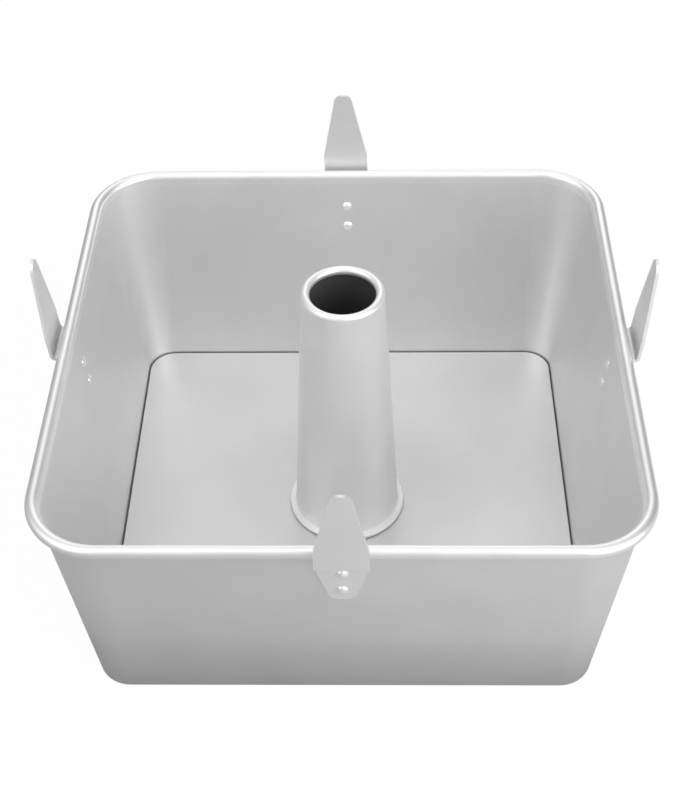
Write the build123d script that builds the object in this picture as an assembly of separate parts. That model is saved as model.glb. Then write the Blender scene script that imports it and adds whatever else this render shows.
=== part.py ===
from build123d import *
import os
from math import acos, asin, atan2, cos, degrees, hypot, pi, radians, sin, tan

# Square angel food cake pan with a lift-out bottom, in millimetres.
# The origin is on the table under the middle of the pan, +Z is up and -Y is the front.

# Pan body, one sheet with a rolled rim and a ledge left round the bottom
rim_opening = 254.0
rim_corner = 27.3
pan_height = 117.4
base_outside = 230.5
body_sheet = 1.5
rim_roll = 5.86
rim_roll_gap = 0.52
base_bend = 1.0
ledge_reach = 12.0
ledge_corner = 10.0

# Loose bottom plate
plate_sheet = 1.6
plate_gap = 0.12
plate_edge_round = 0.4

# Center tube, whose sheet folds out to a shoulder above the plate, in to a neck that goes
# through it and out to a flange below it
tube_height = 143.6
tube_sheet = 1.1
tube_top_outside = 38.9
tube_base_outside = 52.6
tube_lip_roll = 4.2
tube_lip_gap = 0.6
shoulder_reach = 3.2
shoulder_fillet = 0.8
neck_inset = 1.4
neck_clearance = 0.05
flange_reach = 3.6

# Feet, bent strips that carry the pan upside down while a cake cools
foot_sheet = 1.5
foot_width = 22.8
foot_bend = 1.5
foot_rise = 42.3
foot_under_rim = 0.95
foot_beyond_rim = 2.8
blade_parallel = 12.3
blade_tip_radius = 4.7
tab_past_rivets = 7.1
tab_parallel = 8.2
tab_end_width = 12.4
tab_corner = 4.6

# Each foot as it was bent and set by hand. The blade leans outward from upright and the whole
# foot is turned on its wall, in degrees, and it is shifted along the wall. A shift, and a turn
# of the blade's tip, are positive when they go counterclockwise seen from above.
foot_lean = {"right": 4.8, "back": 0.6, "left": 3.9, "front": 4.7}
foot_turn = {"right": 0.0, "back": 1.4, "left": 0.5, "front": 0.4}
foot_shift = {"right": 0.0, "back": 0.0, "left": -2.6, "front": 0.8}

# Rivets, two in each foot, one above the other
rivet_shank = 3.2
rivet_hole_clearance = 0.05
outer_head = 5.6
outer_head_height = 1.6
inner_head = 5.2
inner_head_height = 1.3
rivet_below_shelf = 12.7
rivet_pitch = 11.9

# Overrun of every cutting solid past what it cuts
overrun = 2.0

# The four sides in turn, with their angles about the upright axis from the +X side
sides = ("right", "back", "left", "front")
side_turn = {side: 360 / len(sides) * place for place, side in enumerate(sides)}

# The walls lean outward in a straight line from the table to the rim
roll_height = pan_height - rim_roll / 2
wall_run = rim_opening / 2 + body_sheet - base_outside / 2
wall_slope = wall_run / roll_height
wall_lean = atan2(wall_run, roll_height)

# The round corners of the body and of the plate turn about four upright lines, which
# always stand inside the bend round the base
corner_axis = min(rim_opening / 2 - rim_corner, base_outside / 2 - 2 * (base_bend + body_sheet))


def beside_wall(height, distance):
    """Distance from the middle of the pan to a line that runs beside a wall's outside."""
    return base_outside / 2 + height * wall_slope + distance / cos(wall_lean)


# The edge of the sheet is rolled outward about this line
roll_radius = (rim_roll - body_sheet) / 2
roll_middle = beside_wall(roll_height, roll_radius - body_sheet / 2)
rim_outside = roll_middle + rim_roll / 2

# The flat of the ledge ends where the bend round the base begins, and the flat underside
# of the plate ends a gap before that
ledge_flat_half = beside_wall(body_sheet, -body_sheet) - base_bend * tan(pi / 4 - wall_lean / 2)
plate_top = body_sheet + plate_sheet
plate_half = ledge_flat_half - plate_gap + plate_edge_round

# Places that the tube, the feet and the rivets follow
shoulder_top = plate_top + 2 * tube_sheet
neck_half = tube_base_outside / 2 - neck_inset
shelf_top = pan_height - rim_roll - foot_under_rim
foot_top = pan_height + foot_rise
tab_end = shelf_top - rivet_below_shelf - rivet_pitch - tab_past_rivets
upper_rivet_height = shelf_top - rivet_below_shelf
rivet_heights = {"upper": upper_rivet_height, "lower": upper_rivet_height - rivet_pitch}
between_rivets = upper_rivet_height - rivet_pitch / 2


def roll_turn(roll, sheet, gap):
    """Degrees that a sheet's edge rolls round until it is a gap away from the sheet again."""
    return 360 - degrees(acos((roll / 2 - sheet - gap) / (roll / 2)))


def body_section():
    """Cross-section of the body sheet: floor, bend, leaning wall and rolled rim."""
    mid_sheet = body_sheet / 2
    floor_start = (corner_axis, mid_sheet)
    floor_end = (beside_wall(mid_sheet, -mid_sheet), mid_sheet)
    wall_top_out = roll_middle - roll_radius * cos(wall_lean)
    wall_top = (wall_top_out, roll_height + roll_radius * sin(wall_lean))
    wall = FilletPolyline(floor_start, floor_end, wall_top, radius=base_bend + mid_sheet)
    roll_start = 180 - degrees(wall_lean)
    turn = roll_turn(rim_roll, body_sheet, rim_roll_gap)
    roll = CenterArc((roll_middle, roll_height), roll_radius, roll_start, -turn)
    return Plane.XZ * trace([wall, roll], line_width=body_sheet)


def body_shell():
    """Seamless shell: the section carried along four sides and round four corners."""
    section = body_section()
    side = extrude(section, amount=corner_axis, both=True)
    corner_line = Axis((corner_axis, corner_axis, 0), (0, 0, 1))
    corner = revolve(Pos(0, corner_axis, 0) * section, axis=corner_line, revolution_arc=90)
    shell = extrude(Rectangle(2 * corner_axis, 2 * corner_axis), body_sheet)
    for turn in side_turn.values():
        shell += Rot(0, 0, turn) * (side + corner)
    return shell


def pan_body():
    """Shell with the ledge's opening and the rivet holes cut through it."""
    opening_side = base_outside - 2 * ledge_reach
    opening = RectangleRounded(opening_side, opening_side, ledge_corner)
    body = body_shell() - extrude(opening, body_sheet + overrun, both=True)
    for side in sides:
        body -= foot_place(side) * rivet_holes()
    return body


def bottom_plate():
    """Flat bottom with round corners that rests on the ledge."""
    corner_radius = plate_half - corner_axis
    outline = RectangleRounded(2 * plate_half, 2 * plate_half, corner_radius)
    plate = Pos(0, 0, body_sheet) * extrude(outline, plate_sheet)
    faces_up_down = plate.faces().sort_by(Axis.Z)
    plate = fillet(faces_up_down[0].edges() + faces_up_down[-1].edges(), plate_edge_round)
    hole = extrude(Circle(neck_half + neck_clearance), plate_top + overrun)
    return plate - hole


def tube_section():
    """Cross-section of the tube sheet, from the flange under the plate to the rolled lip."""
    mid_sheet = tube_sheet / 2
    tight_bend = mid_sheet + neck_clearance
    neck = neck_half - mid_sheet
    fold = tube_base_outside / 2 + shoulder_reach - tube_sheet
    flange_height = body_sheet - mid_sheet
    lower_leaf = plate_top + mid_sheet
    upper_leaf = shoulder_top - mid_sheet
    flange_end = (neck_half + flange_reach, flange_height)
    neck_points = [flange_end, (neck, flange_height), (neck, lower_leaf), (fold, lower_leaf)]
    below = FilletPolyline(neck_points, radius=tight_bend)
    shoulder = CenterArc((fold, plate_top + tube_sheet), mid_sheet, -90, 180)

    lip_height = tube_height - tube_lip_roll / 2
    lip_middle = tube_top_outside / 2 - tube_lip_roll / 2
    lip_radius = (tube_lip_roll - tube_sheet) / 2
    run = tube_base_outside / 2 - lip_middle
    rise = lip_height - shoulder_top
    cone_lean = atan2(run, rise) - asin(tube_lip_roll / 2 / hypot(run, rise))
    cone_base = tube_base_outside / 2 + mid_sheet * tan(cone_lean) - mid_sheet / cos(cone_lean)
    cone_top_out = lip_middle + lip_radius * cos(cone_lean)
    cone_top = (cone_top_out, lip_height + lip_radius * sin(cone_lean))
    cone_points = [(fold, upper_leaf), (cone_base, upper_leaf), cone_top]
    cone = FilletPolyline(cone_points, radius=shoulder_fillet + mid_sheet)
    turn = roll_turn(tube_lip_roll, tube_sheet, tube_lip_gap)
    lip = CenterArc((lip_middle, lip_height), lip_radius, degrees(cone_lean), turn)
    return Plane.XZ * trace([below, shoulder, cone, lip], line_width=tube_sheet)


def center_tube():
    """Tapered tube with a lip rolled inward, turned round the upright axis."""
    return revolve(tube_section(), axis=Axis.Z)


def foot_strip(lean):
    """Strip of sheet bent to the wall, out under the rim and up into the blade."""
    mid_sheet = foot_sheet / 2
    shelf_height = shelf_top - mid_sheet
    low = tab_end - overrun
    high = foot_top + overrun
    blade_face = rim_outside + foot_beyond_rim
    blade_base = blade_face + mid_sheet / cos(lean) - mid_sheet * tan(lean)
    blade_end = blade_base + (high - shelf_height) * tan(lean)
    path = FilletPolyline(
        (beside_wall(low, mid_sheet), low),
        (beside_wall(shelf_height, mid_sheet), shelf_height),
        (blade_base, shelf_height),
        (blade_end, high),
        radius=foot_bend + mid_sheet,
    )
    section = Plane.XZ * trace(path, line_width=foot_sheet)
    return extrude(section, amount=foot_width / 2, both=True)


def foot_outline():
    """Outline of a foot seen square on: rounded tab, full width shelf, tapered blade."""
    half = foot_width / 2
    blade_shoulder = shelf_top + blade_parallel
    tab_shoulder = shelf_top - tab_parallel
    corner_out = tab_end_width / 2 - tab_corner
    corner_height = tab_end + tab_corner
    tip = Pos(0, foot_top - blade_tip_radius) * Circle(blade_tip_radius)
    blade_line = Line((-half, blade_shoulder), (half, blade_shoulder))
    blade = make_hull(tip.edges() + blade_line.edges())
    corners = [Pos(out, corner_height) * Circle(tab_corner) for out in (-corner_out, corner_out)]
    tab_line = Line((-half, tab_shoulder), (half, tab_shoulder))
    tab = make_hull(corners[0].edges() + corners[1].edges() + tab_line.edges())
    middle = Pos(0, (blade_shoulder + tab_shoulder) / 2) * Rectangle(
        foot_width, blade_shoulder - tab_shoulder
    )
    return blade + tab + middle


def foot(lean_degrees):
    """One foot on the +X wall."""
    blank = extrude(Plane.YZ * foot_outline(), 2 * rim_outside)
    return (foot_strip(radians(lean_degrees)) & blank) - rivet_holes()


def wall_frame(height):
    """Frame on the outside of the +X wall whose Z axis points straight out of the wall."""
    origin = (beside_wall(height, 0), 0, height)
    return Plane(origin=origin, x_dir=(0, 1, 0), z_dir=(cos(wall_lean), 0, -sin(wall_lean)))


def foot_place(side):
    """Move that takes a foot with its rivets from the middle of the +X wall to its own place."""
    pivot = Location(wall_frame(between_rivets))
    turned = pivot * Rot(0, 0, -foot_turn[side]) * pivot.inverse()
    return Rot(0, 0, side_turn[side]) * Pos(0, foot_shift[side], 0) * turned


def rivet_holes():
    """The two round holes through the +X wall and its foot."""
    hole = Circle(rivet_shank / 2 + rivet_hole_clearance)
    depth = body_sheet + foot_sheet + overrun
    upper, lower = rivet_heights.values()
    through = extrude(wall_frame(upper) * hole, depth, both=True)
    return through + extrude(wall_frame(lower) * hole, depth, both=True)


def dome_radius(reach, rise):
    """Radius of the ball that a shallow dome is cut from."""
    return (reach**2 + rise**2) / (2 * rise)


def rivet(height):
    """Solid rivet through the +X wall, a dome outside and a flatter one inside."""
    shank = rivet_shank / 2
    outer = outer_head / 2
    inner = inner_head / 2
    outer_top = (0, foot_sheet + outer_head_height)
    inner_top = (0, -body_sheet - inner_head_height)
    side = Polyline(
        (outer, foot_sheet), (shank, foot_sheet), (shank, -body_sheet), (inner, -body_sheet)
    )
    outer_dome = RadiusArc(outer_top, side @ 0, dome_radius(outer, outer_head_height))
    inner_dome = RadiusArc(side @ 1, inner_top, dome_radius(inner, inner_head_height))
    half = make_face([outer_dome, side, inner_dome, Line(inner_top, outer_top)])
    return wall_frame(height) * revolve(Plane.XZ * half, axis=Axis.Z)


def build():
    """Every piece of the pan by name, in its place."""
    pieces = {"pan_body": pan_body(), "bottom_plate": bottom_plate()}
    pieces["center_tube"] = center_tube()
    for side in sides:
        place = foot_place(side)
        pieces[f"{side}_foot"] = place * foot(foot_lean[side])
        for level, height in rivet_heights.items():
            pieces[f"{side}_foot_{level}_rivet"] = place * rivet(height)
    return pieces


os.makedirs("parts", exist_ok=True)
for name, piece in build().items():
    export_step(piece, f"parts/{name}.step")
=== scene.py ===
from math import cos, radians, sin

import bpy
from mathutils import Matrix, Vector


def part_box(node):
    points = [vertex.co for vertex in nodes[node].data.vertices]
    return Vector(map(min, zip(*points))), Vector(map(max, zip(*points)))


# Looks of the square angel food cake pan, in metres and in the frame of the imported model.
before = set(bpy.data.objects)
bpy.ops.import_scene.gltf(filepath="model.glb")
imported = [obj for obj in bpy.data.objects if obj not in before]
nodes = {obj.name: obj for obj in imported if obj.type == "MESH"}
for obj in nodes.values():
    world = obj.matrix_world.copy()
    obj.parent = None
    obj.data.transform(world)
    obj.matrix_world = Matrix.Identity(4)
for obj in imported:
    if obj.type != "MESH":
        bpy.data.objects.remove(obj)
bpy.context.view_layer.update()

# Camera, in metres and degrees: yaw turns it to the right, pitch down and roll clockwise
camera_place = (0.014598, -0.515940, 0.573477)
camera_yaw = -1.729
camera_pitch = 44.031
camera_roll = 1.331
image_height = 800
focal_pixels = 1473.305
sensor_long_side = 36.0

# Stage
floor_half = 3.0
# Painted shade and light: floor grey darker on the left, lighter on the right
floor_painted_shade_left = 0.38
floor_painted_light_right = 0.59
floor_shade_reach = 0.15
backdrop_white = 1.03
camera_white_share = 0.94
gloss_white_share = 0.05
studio_level = 0.24
studio_glows = (
    # azimuth (0 behind the pan, 90 on its right), elevation, radiance, tightness
    (0, 90, 1.1, 10),
    (240, 58, 0.9, 12),
    (0, 30, 1.2, 12),
    (135, 30, 3.3, 12),
    (225, 30, 1.1, 12),
    (270, 30, 0.7, 12),
    (120, 8, 2.1, 18),
    (180, 8, 0.25, 18),
)

# Feet, whose sheared edges are tumbled smooth
foot_edge_round = 0.00035
foot_edge_steps = 3
foot_edge_angle = 40

# Satin finish: the turns are cosines between two normals
noise_middle = (0.3, 0.7)
cloud_scale = 9.0
cloud_swing = 0.03
blotch_scale = 38.0
blotch_swing = 0.015
rough_swing = 0.03
grain_scale = 1400.0
grain_strength = 0.10
grain_depth = 0.00004
scuff_stretch = (90.0, 900.0, 400.0)
scuff_span = (0.66, 0.8)
scuff_gloss = 0.05
edge_reach = 0.0008
edge_turns = (0.999, 0.93)
# Painted highlight: tone added on rounded edges, where light would catch them
edge_painted_highlight = 0.10
edge_gloss = 0.12
# Painted shade: tone darkened where ambient occlusion finds creases and gaps between parts
crevice_reach = 0.0022
crevice_span = (0.05, 0.50)
crevice_painted_shade = 0.35
cool_tint = 1.005
brightest = 0.98
mask_samples = 4

# Grain directions: small along the axis that the metal was drawn or rolled along
drawn_up = (1, 1, 0.02)
rolled_across = (0.02, 1, 1)
strip_up = (1, 1, 0.05)
no_grain = (1, 1, 1)

# Body: painted shade outside towards the table, painted light inside towards the rim, and a
# painted highlight with less roughness on the rolled rim
outside_turn = 0.02
# Painted shade: outside of the walls darkened towards the table
wall_painted_shade_span = (0.085, 0.03)
wall_painted_shade = 0.12
foot_painted_shade_span = (0.045, 0.0)
foot_painted_shade = 0.22
# Painted light: inside of the walls lightened towards the rim
inside_painted_light_span = (0.07, 0.11)
inside_painted_light = 0.03
bead_height = 0.006
bead_blend = 0.001
# Painted highlight on the rolled rim
bead_painted_highlight = 0.13
bead_gloss = 0.11

# Plate: painted light along its front and back margins, painted shade round the tube
margin_start = 0.085
margin_painted_light = 0.07
ring_span = (0.045, 0.075)
# Painted shade round the tube
ring_painted_shade = 0.05

# Tube: painted shade and more roughness in the bore, painted highlight on the lip and collar,
# and less roughness on the lip
lip_height = 0.0042
lip_blend = 0.001
lip_gloss = 0.10
bore_turn = -0.006
bore_blend = 0.0008
# Painted shade inside the bore
bore_painted_shade = 0.18
bore_rough = 0.2
collar_height = 0.0022
collar_blend = 0.0004
# Painted highlight on the lip and the collar
lip_and_collar_painted_highlight = 0.04

# Sheared edges of the feet: painted highlight, and a little more roughness
sheared_turns = (0.55, 0.85)
sheared_painted_highlight = 0.14
sheared_rough = 0.04


def make_camera():
    """Camera at the photograph's viewing angle."""
    data = bpy.data.cameras.new("camera")
    data.sensor_width = sensor_long_side
    data.lens = focal_pixels * sensor_long_side / image_height
    data.clip_start = 0.01
    data.clip_end = 20.0
    camera = bpy.data.objects.new("camera", data)
    bpy.context.scene.collection.objects.link(camera)
    turn = Matrix.Rotation(radians(-camera_yaw), 4, "Z")
    tip = Matrix.Rotation(radians(90 - camera_pitch), 4, "X")
    bank = Matrix.Rotation(radians(-camera_roll), 4, "Z")
    camera.matrix_world = Matrix.Translation(camera_place) @ turn @ tip @ bank
    bpy.context.scene.camera = camera


class Nodes:
    """Node tree of a material or world, with short calls for the nodes that it needs."""

    def __init__(self, owner):
        owner.use_nodes = True
        self.owner = owner
        self.tree = owner.node_tree
        self.tree.nodes.clear()

    def node(self, kind, settings=None, **inputs):
        """New node; settings are its own properties, inputs its sockets by name."""
        made = self.tree.nodes.new("ShaderNode" + kind)
        for key, value in (settings or {}).items():
            setattr(made, key, value)
        for key, value in inputs.items():
            self.plug(made.inputs[key.replace("_", " ")], value)
        return made

    def plug(self, socket, value):
        """Joins a socket to another, or sets its value."""
        if isinstance(value, bpy.types.NodeSocket):
            self.tree.links.new(value, socket)
        else:
            socket.default_value = value

    def math(self, operation, first, second=0.0, third=0.0):
        """Result of one Math node."""
        made = self.node("Math", {"operation": operation})
        for socket, value in zip(made.inputs, (first, second, third)):
            self.plug(socket, value)
        return made.outputs[0]

    def remap(self, value, from_low, from_high, to_low, to_high):
        """Value moved from one range to another, kept inside it."""
        made = self.node("MapRange")
        for socket, number in zip(made.inputs, (value, from_low, from_high, to_low, to_high)):
            self.plug(socket, number)
        return made.outputs[0]

    def swing(self, noise, middle, swing):
        """A noise turned into small changes round a middle value."""
        return self.remap(noise, *noise_middle, middle - swing, middle + swing)

    def dot(self, first, second):
        """Dot product of two directions."""
        made = self.node("VectorMath", {"operation": "DOT_PRODUCT"})
        self.plug(made.inputs[0], first)
        self.plug(made.inputs[1], second)
        return made.outputs["Value"]

    def noise(self, where, scale, detail=2.0, rough=0.5):
        """Cloudy noise from 0 to 1."""
        made = self.node("TexNoise", Vector=where, Scale=scale, Detail=detail, Roughness=rough)
        return made.outputs["Fac"]

    def stretched(self, where, stretch):
        """Coordinates scaled by a different amount along each axis."""
        return self.node("Mapping", Vector=where, Scale=stretch).outputs[0]

    def height_and_flat(self, where):
        """Height of a place, and the direction to it straight out from the upright axis."""
        split = self.node("SeparateXYZ", Vector=where).outputs
        flat = self.node("CombineXYZ", X=split["X"], Y=split["Y"], Z=0.0).outputs[0]
        return split["Z"], flat

    def finish(self, surface):
        """Ends a material in a surface shader."""
        self.node("OutputMaterial", Surface=surface)
        return self.owner


def satin_aluminium(name, tone, roughness, grain_along, film, extra=None):
    """Satin sheet: cloudy tone, drawn grain, scuffs, painted highlights on edges and painted
    shade in crevices.

    film is the share of its face that a matt oxide film scatters evenly.
    """
    s = Nodes(bpy.data.materials.new(name))
    where = s.node("TexCoord").outputs["Object"]
    normal = s.node("NewGeometry").outputs["Normal"]
    cloud = s.noise(where, cloud_scale, 3.0)
    blotch = s.noise(where, blotch_scale, 4.0, 0.6)
    grain = s.noise(s.stretched(where, [grain_scale * k for k in grain_along]), 1.0)
    scuff = s.noise(s.stretched(where, scuff_stretch), 1.0, 3.0, 0.7)

    bevel = s.node("Bevel", {"samples": mask_samples}, Radius=edge_reach).outputs[0]
    edge = s.remap(s.dot(bevel, normal), *edge_turns, 0.0, 1.0)
    occlusion = s.node("AmbientOcclusion", {"samples": mask_samples}, Distance=crevice_reach)
    open_sky = occlusion.outputs["AO"]

    shade = s.swing(cloud, tone, tone * cloud_swing)
    shade = s.math("MULTIPLY", shade, s.swing(blotch, 1.0, blotch_swing))
    # Painted highlight on rounded edges
    shade = s.math("MULTIPLY_ADD", edge, edge_painted_highlight, shade)
    # Painted shade in crevices and gaps, from ambient occlusion
    shade = s.math("MULTIPLY", shade, s.remap(open_sky, *crevice_span, crevice_painted_shade, 1.0))
    rough = s.swing(blotch, roughness, rough_swing)
    rough = s.math("MULTIPLY_ADD", s.remap(scuff, *scuff_span, 0.0, 1.0), -scuff_gloss, rough)
    rough = s.math("MULTIPLY_ADD", edge, -edge_gloss, rough)
    if extra:
        shade, rough = extra(s, where, normal, shade, rough)
    shade = s.math("MINIMUM", shade, brightest)
    blue = s.math("MULTIPLY", shade, cool_tint)
    color = s.node("CombineColor", Red=shade, Green=shade, Blue=blue)
    bump = s.node("Bump", Strength=grain_strength, Distance=grain_depth, Height=grain)
    metal = s.node(
        "BsdfPrincipled",
        Base_Color=color.outputs[0],
        Metallic=1.0 - film,
        Roughness=rough,
        Normal=bump.outputs[0],
    )
    return s.finish(metal.outputs[0])


def body_painted_light_and_shade(s, where, normal, shade, rough):
    """Painted highlight and less roughness on the rolled rim, painted light on the walls inside
    towards the rim, and painted shade outside towards the table.
    """
    height, flat = s.height_and_flat(where)
    outside = s.remap(s.dot(flat, normal), 0.0, outside_turn, 0.0, 1.0)
    # Painted shade outside towards the table, painted light inside towards the rim
    painted_low_shade = s.remap(height, *wall_painted_shade_span, 0.0, wall_painted_shade)
    painted_low_shade = s.math("ADD", painted_low_shade, s.remap(height, *foot_painted_shade_span, 0.0, foot_painted_shade))
    painted_high_light = s.remap(height, *inside_painted_light_span, 0.0, inside_painted_light)
    painted_wall_tone = s.remap(outside, 0.0, 1.0, painted_high_light, s.math("MULTIPLY", painted_low_shade, -1.0))
    shade = s.math("MULTIPLY", shade, s.math("ADD", 1.0, painted_wall_tone))
    bead = s.remap(height, bead_low, bead_low + bead_blend, 0.0, 1.0)
    # Painted highlight on the rolled rim, which is also less rough
    shade = s.math("MULTIPLY_ADD", bead, bead_painted_highlight, shade)
    return shade, s.math("MULTIPLY_ADD", bead, -bead_gloss, rough)


def plate_painted_light_and_shade(s, where, normal, shade, rough):
    """Painted light on the plate along its front and back, and painted shade round the tube."""
    split = s.node("SeparateXYZ", Vector=where)
    aside = s.math("ABSOLUTE", split.outputs["Y"])
    # Painted light along the front and back margins
    margin = s.remap(aside, margin_start, plate_half, 0.0, margin_painted_light)
    _, flat = s.height_and_flat(where)
    reach = s.node("VectorMath", {"operation": "LENGTH"})
    s.plug(reach.inputs[0], flat)
    # Painted shade round the tube
    ring = s.remap(reach.outputs["Value"], *ring_span, -ring_painted_shade, 0.0)
    return s.math("ADD", shade, s.math("ADD", margin, ring)), rough


def tube_painted_shade_and_highlight(s, where, normal, shade, rough):
    """Tube painted dark inside below its lip as painted shade, and rougher there; painted
    highlight on the lip and collar, and less roughness on the lip.
    """
    height, flat = s.height_and_flat(where)
    inward = s.remap(s.dot(flat, normal), 0.0, bore_turn, 0.0, 1.0)
    below = s.remap(height, lip_low + bore_blend, lip_low, 0.0, 1.0)
    inside = s.math("MULTIPLY", inward, below)
    # Painted shade in the bore
    shade = s.math("MULTIPLY", shade, s.remap(inside, 0.0, 1.0, 1.0, bore_painted_shade))
    rough = s.math("MULTIPLY_ADD", inside, bore_rough, rough)
    lip = s.remap(height, lip_low, lip_low + lip_blend, 0.0, 1.0)
    collar = s.remap(height, collar_top + collar_blend, collar_top, 0.0, 1.0)
    lip_and_collar_mask = s.math("MAXIMUM", lip, collar)
    # Painted highlight on the lip and collar
    shade = s.math("MULTIPLY_ADD", lip_and_collar_mask, lip_and_collar_painted_highlight, shade)
    return shade, s.math("MULTIPLY_ADD", lip, -lip_gloss, rough)


def sheared_edge_painted_highlight(along):
    """The sheared edges of a strip, which face along an axis, get a painted highlight and a
    little more roughness.
    """

    def brighten(s, where, normal, shade, rough):
        aside = s.math("ABSOLUTE", s.dot(normal, along))
        sheared = s.remap(aside, *sheared_turns, 0.0, 1.0)
        # Painted highlight on the sheared edges
        shade = s.math("MULTIPLY_ADD", sheared, sheared_painted_highlight, shade)
        return shade, s.math("MULTIPLY_ADD", sheared, sheared_rough, rough)

    return brighten


def make_stage():
    """Pale floor that shows white to the camera and keeps the pan's shadow.

    Its grey is painted a little darker on the left and lighter on the right: painted shade and
    light standing in for less of the studio's light on the left.
    """
    mesh = bpy.data.meshes.new("floor")
    turns = ((-1, -1), (1, -1), (1, 1), (-1, 1))
    corners = [(x * floor_half, y * floor_half, 0) for x, y in turns]
    mesh.from_pydata(corners, [], [(0, 1, 2, 3)])
    floor = bpy.data.objects.new("floor", mesh)
    bpy.context.scene.collection.objects.link(floor)
    s = Nodes(bpy.data.materials.new("floor"))
    path = s.node("LightPath")
    place = s.node("NewGeometry").outputs
    side = s.node("SeparateXYZ", Vector=place["Position"]).outputs["X"]
    reach = (-floor_shade_reach, floor_shade_reach)
    # Painted shade on the left of the floor, painted light on its right
    shade = s.remap(side, *reach, floor_painted_shade_left, floor_painted_light_right)
    grey = s.node("CombineColor", Red=shade, Green=shade, Blue=shade).outputs[0]
    lit = s.node("BsdfDiffuse", Color=grey).outputs[0]
    white = s.node("Emission", Strength=backdrop_white).outputs[0]
    share = s.math("MULTIPLY", path.outputs["Is Camera Ray"], camera_white_share)
    share = s.math("MULTIPLY_ADD", path.outputs["Is Glossy Ray"], gloss_white_share, share)
    shown = s.node("MixShader", Fac=share)
    s.plug(shown.inputs[1], lit)
    s.plug(shown.inputs[2], white)
    clear = s.node("BsdfTransparent").outputs[0]
    sided = s.node("MixShader", Fac=place["Backfacing"])
    s.plug(sided.inputs[1], shown.outputs[0])
    s.plug(sided.inputs[2], clear)
    mesh.materials.append(s.finish(sided.outputs[0]))


def make_world(level, glows):
    """White to the camera, and an even level with broad soft glows round the pan."""
    s = Nodes(bpy.data.worlds.new("studio"))
    where = s.node("TexCoord").outputs["Generated"]
    light = level
    for azimuth, elevation, radiance, tightness in glows:
        a = radians(azimuth)
        e = radians(elevation)
        middle = (sin(a) * cos(e), cos(a) * cos(e), sin(e))
        near = s.math("MAXIMUM", s.dot(where, middle), 0.0)
        light = s.math("MULTIPLY_ADD", s.math("POWER", near, tightness), radiance, light)
    seen = s.node("LightPath").outputs["Is Camera Ray"]
    strength = s.node("MapRange", Value=seen, To_Min=light, To_Max=backdrop_white).outputs[0]
    background = s.node("Background", Color=(1, 1, 1, 1), Strength=strength)
    s.node("OutputWorld", Surface=background.outputs[0])
    bpy.context.scene.world = s.owner


def dress(name, material):
    """Gives a CAD node its finished material."""
    mesh = nodes[name].data
    mesh.materials.clear()
    mesh.materials.append(material)


def round_edges(name, width, steps):
    """Rounds the sharp edges of a CAD node a little, as tumbling does."""
    bevel = nodes[name].modifiers.new("edges", "BEVEL")
    bevel.width = width
    bevel.segments = steps
    bevel.limit_method = "ANGLE"
    bevel.angle_limit = radians(foot_edge_angle)
    bevel.harden_normals = True


bpy.context.scene.view_settings.view_transform = "Standard"
make_camera()
make_stage()
make_world(studio_level, studio_glows)

bead_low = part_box("pan_body")[1][2] - bead_height
lip_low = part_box("center_tube")[1][2] - lip_height
collar_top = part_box("bottom_plate")[1][2] + collar_height
plate_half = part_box("bottom_plate")[1][1]

# Tone, roughness, grain and share of matt film; the lighter tones of the tube, rivets and feet
# are painted light
pan_metal = satin_aluminium("pan_metal", 0.82, 0.47, drawn_up, 0.15, body_painted_light_and_shade)
plate_metal = satin_aluminium("plate_metal", 0.83, 0.44, rolled_across, 0.0, plate_painted_light_and_shade)
tube_metal = satin_aluminium("tube_metal", 0.93, 0.42, drawn_up, 0.45, tube_painted_shade_and_highlight)
rivet_metal = satin_aluminium("rivet_metal", 0.90, 0.30, no_grain, 0.3)
foot_finish = (0.90, 0.46, strip_up, 0.25)
side_foot_metal = satin_aluminium("side_foot_metal", *foot_finish, sheared_edge_painted_highlight((0, 1, 0)))
end_foot_metal = satin_aluminium("end_foot_metal", *foot_finish, sheared_edge_painted_highlight((1, 0, 0)))

for name in nodes:
    if name.endswith("_rivet"):
        dress(name, rivet_metal)
foot_metals = {
    "left_foot": side_foot_metal,
    "right_foot": side_foot_metal,
    "front_foot": end_foot_metal,
    "back_foot": end_foot_metal,
}
for name, metal in foot_metals.items():
    dress(name, metal)
    round_edges(name, foot_edge_round, foot_edge_steps)
dress("pan_body", pan_metal)
dress("bottom_plate", plate_metal)
dress("center_tube", tube_metal)
